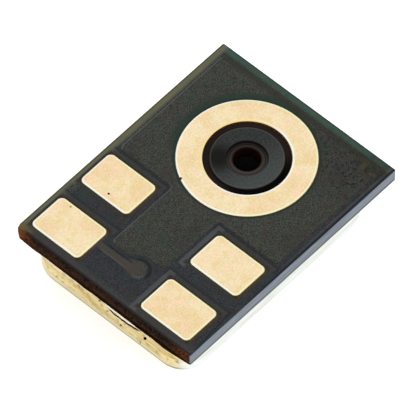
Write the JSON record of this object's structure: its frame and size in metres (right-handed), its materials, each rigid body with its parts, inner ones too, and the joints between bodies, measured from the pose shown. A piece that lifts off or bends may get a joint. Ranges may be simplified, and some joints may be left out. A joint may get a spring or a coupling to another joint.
{
  "type": "microphone",
  "caption": "Surface-mount microphone with a sound port in its board, a gold solder ring round the port, solder pads beside it and a drawn metal lid.",
  "frame": {"origin": "under the middle of the board's outline, on the flat face of the metal lid", "axes": "+X along the package from the pad end to the port end, +Z out of the solder side"},
  "size_m": [0.0034, 0.0026, 0.001],
  "materials": {
    "laminate": "sawn dark laminate",
    "plated_copper": "satin gold plate",
    "solder_mask": "satin black",
    "via_copper": "plated copper",
    "silicon": "polished grey",
    "silicon_film": "polished film",
    "die_adhesive": "soft and matt",
    "bond_metal": "bright",
    "gold_wire": "bright gold",
    "solder": "dull reflowed solder",
    "lid_metal": "satin drawn metal"
  },
  "bodies": {
    "root": {"board_core": "laminate", "ground_copper": "plated_copper", "output_pad": "plated_copper", "supply_pad": "plated_copper", "ground_pad_inner": "plated_copper", "ground_pad_corner": "plated_copper", "port_land": "plated_copper", "solder_side_mask": "solder_mask", "port_mask_collar": "solder_mask", "signal_vias": "via_copper", "ground_vias": "via_copper", "lid_land": "plated_copper", "output_bond_land": "plated_copper", "supply_bond_land": "plated_copper", "chip_side_mask": "solder_mask", "transducer_die": "silicon", "transducer_adhesive": "die_adhesive", "diaphragm": "silicon_film", "spacer_ring": "silicon_film", "backplate": "silicon_film", "transducer_bond_pads": "bond_metal", "amplifier_adhesive": "die_adhesive", "amplifier_die": "silicon", "amplifier_bond_pads": "bond_metal", "bias_wire": "gold_wire", "signal_wire": "gold_wire", "shield_wire": "gold_wire", "output_wire": "gold_wire", "supply_wire": "gold_wire", "ground_wire": "gold_wire", "lid_seam": "solder", "lid": "lid_metal"}
  },
  "joints": []
}
